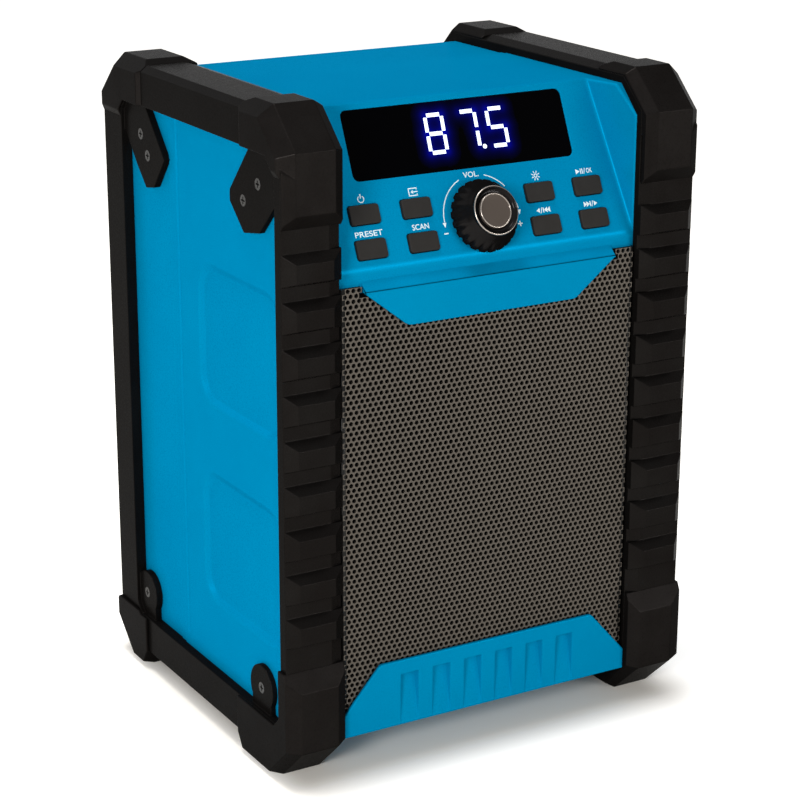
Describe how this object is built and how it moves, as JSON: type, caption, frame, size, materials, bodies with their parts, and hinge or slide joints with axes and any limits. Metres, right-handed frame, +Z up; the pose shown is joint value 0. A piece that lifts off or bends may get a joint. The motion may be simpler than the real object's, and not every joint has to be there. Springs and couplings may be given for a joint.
{
  "type": "jobsite radio",
  "caption": "Rugged worksite radio: blue housing in two black ribbed side cages, sloped panel with display, buttons and volume knob, perforated speaker grille.",
  "frame": {"origin": "on the floor under the middle of the radio, midway between its sides and between its front and back", "axes": "+X to the radio's left-hand side as seen from behind, which is the viewer's right from the front; -Y is the front with the grille; +Z up"},
  "size_m": [0.215, 0.188, 0.3055],
  "materials": {
    "blue_plastic": "satin moulded ABS",
    "black_plastic": "fine spark texture",
    "bumper_rubber": "matt",
    "grille_metal": "grey-bronze coat",
    "cloth": "woven",
    "zinc_steel": "zinc plated",
    "blackened_steel": "black oxide",
    "gloss_black": "polished",
    "button_rubber": "matt",
    "keypad_rubber": "matt",
    "board": "solder mask",
    "grey_metal": "drawn",
    "cap_plastic": "satin",
    "paper_cone": "pressed pulp",
    "ferrite": "sintered ferrite",
    "cell_metal": "printed sleeve",
    "chrome": "polished"
  },
  "bodies": {
    "chassis": {"front_shell": "blue_plastic", "rear_shell": "blue_plastic", "lower_trim": "blue_plastic", "grille": "grille_metal", "dust_cloth": "cloth", "cage_left": "black_plastic", "cage_right": "black_plastic", "bumper_top_front_left": "bumper_rubber", "bumper_top_front_right": "bumper_rubber", "bumper_top_back_left": "bumper_rubber", "bumper_top_back_right": "bumper_rubber", "bumper_low_front_left": "bumper_rubber", "bumper_low_front_right": "bumper_rubber", "bumper_low_back_left": "bumper_rubber", "bumper_low_back_right": "bumper_rubber", "tab_screws": "blackened_steel", "shell_screws": "zinc_steel", "display_window": "gloss_black", "display_module": "board", "keypad_mat": "keypad_rubber", "control_board": "board", "tact_switches": "grey_metal", "encoder_body": "grey_metal", "main_board": "board", "heat_sink": "grey_metal", "capacitors": "grey_metal", "woofer_basket": "blackened_steel", "woofer_magnet": "ferrite", "woofer_cone": "paper_cone", "woofer_surround": "button_rubber", "dust_cap": "paper_cone", "woofer_screws": "zinc_steel", "battery_box": "black_plastic", "battery_contacts": "zinc_steel", "battery_cells": "cell_metal", "dc_inlet": "black_plastic", "audio_socket": "black_plastic", "usb_socket": "grey_metal", "aerial_base": "black_plastic", "aerial_clip": "black_plastic"},
    "power_button": {"button_power": "button_rubber"},
    "source_button": {"button_source": "button_rubber"},
    "preset_button": {"button_preset": "button_rubber"},
    "scan_button": {"button_scan": "button_rubber"},
    "light_button": {"button_light": "button_rubber"},
    "play_button": {"button_play": "button_rubber"},
    "back_button": {"button_back": "button_rubber"},
    "next_button": {"button_next": "button_rubber"},
    "knob": {"volume_knob": "black_plastic", "knob_disc": "cap_plastic", "encoder_shaft": "grey_metal"},
    "door": {"battery_door": "black_plastic"},
    "lock": {"door_lock": "black_plastic"},
    "flap": {"socket_flap": "button_rubber"},
    "aerial_swivel": {"aerial_knuckle": "black_plastic"},
    "aerial_rod": {"aerial_tube": "chrome"},
    "aerial_two": {"aerial_second": "chrome"},
    "aerial_three": {"aerial_third": "chrome"},
    "aerial_four": {"aerial_tip": "chrome"}
  },
  "joints": [
    {"name": "power_press", "type": "slide", "parent": "chassis", "child": "power_button", "axis": [0, 0.9094, -0.4159], "range_m": [0, 0.0008], "stiffness_N_per_m": 600, "springref_m": -0.0005},
    {"name": "source_press", "type": "slide", "parent": "chassis", "child": "source_button", "axis": [0, 0.9094, -0.4159], "range_m": [0, 0.0008], "stiffness_N_per_m": 600, "springref_m": -0.0005},
    {"name": "preset_press", "type": "slide", "parent": "chassis", "child": "preset_button", "axis": [0, 0.9094, -0.4159], "range_m": [0, 0.0008], "stiffness_N_per_m": 600, "springref_m": -0.0005},
    {"name": "scan_press", "type": "slide", "parent": "chassis", "child": "scan_button", "axis": [0, 0.9094, -0.4159], "range_m": [0, 0.0008], "stiffness_N_per_m": 600, "springref_m": -0.0005},
    {"name": "light_press", "type": "slide", "parent": "chassis", "child": "light_button", "axis": [0, 0.9094, -0.4159], "range_m": [0, 0.0008], "stiffness_N_per_m": 600, "springref_m": -0.0005},
    {"name": "play_press", "type": "slide", "parent": "chassis", "child": "play_button", "axis": [0, 0.9094, -0.4159], "range_m": [0, 0.0008], "stiffness_N_per_m": 600, "springref_m": -0.0005},
    {"name": "back_press", "type": "slide", "parent": "chassis", "child": "back_button", "axis": [0, 0.9094, -0.4159], "range_m": [0, 0.0008], "stiffness_N_per_m": 600, "springref_m": -0.0005},
    {"name": "next_press", "type": "slide", "parent": "chassis", "child": "next_button", "axis": [0, 0.9094, -0.4159], "range_m": [0, 0.0008], "stiffness_N_per_m": 600, "springref_m": -0.0005},
    {"name": "volume_turn", "type": "hinge", "parent": "chassis", "child": "knob", "pos_m": [0, -0.07749, 0.24663], "axis": [0, -0.9094, 0.4159], "continuous": true},
    {"name": "door_swing", "type": "hinge", "parent": "chassis", "child": "door", "pos_m": [0, 0.0796, 0.038], "axis": [-1, 0, 0], "range_deg": [0, 90]},
    {"name": "lock_turn", "type": "hinge", "parent": "door", "child": "lock", "pos_m": [0, 0.0785, 0.1145], "axis": [0, -1, 0], "range_deg": [0, 90]},
    {"name": "flap_swing", "type": "hinge", "parent": "chassis", "child": "flap", "pos_m": [0.0515, 0.0826, 0.158], "axis": [1, 0, 0], "range_deg": [0, 120]},
    {"name": "aerial_swivel_turn", "type": "hinge", "parent": "chassis", "child": "aerial_swivel", "pos_m": [-0.056, 0.087, 0.17], "axis": [0, 1, 0], "range_deg": [0, 90]},
    {"name": "aerial_tilt", "type": "hinge", "parent": "aerial_swivel", "child": "aerial_rod", "pos_m": [-0.056, 0.087, 0.18], "axis": [-1, 0, 0], "range_deg": [0, 90]},
    {"name": "aerial_slide_second", "type": "slide", "parent": "aerial_rod", "child": "aerial_two", "axis": [0, 0, 1], "range_m": [0, 0.08]},
    {"name": "aerial_slide_third", "type": "slide", "parent": "aerial_two", "child": "aerial_three", "axis": [0, 0, 1], "range_m": [0, 0.08]},
    {"name": "aerial_slide_tip", "type": "slide", "parent": "aerial_three", "child": "aerial_four", "axis": [0, 0, 1], "range_m": [0, 0.08]}
  ]
}
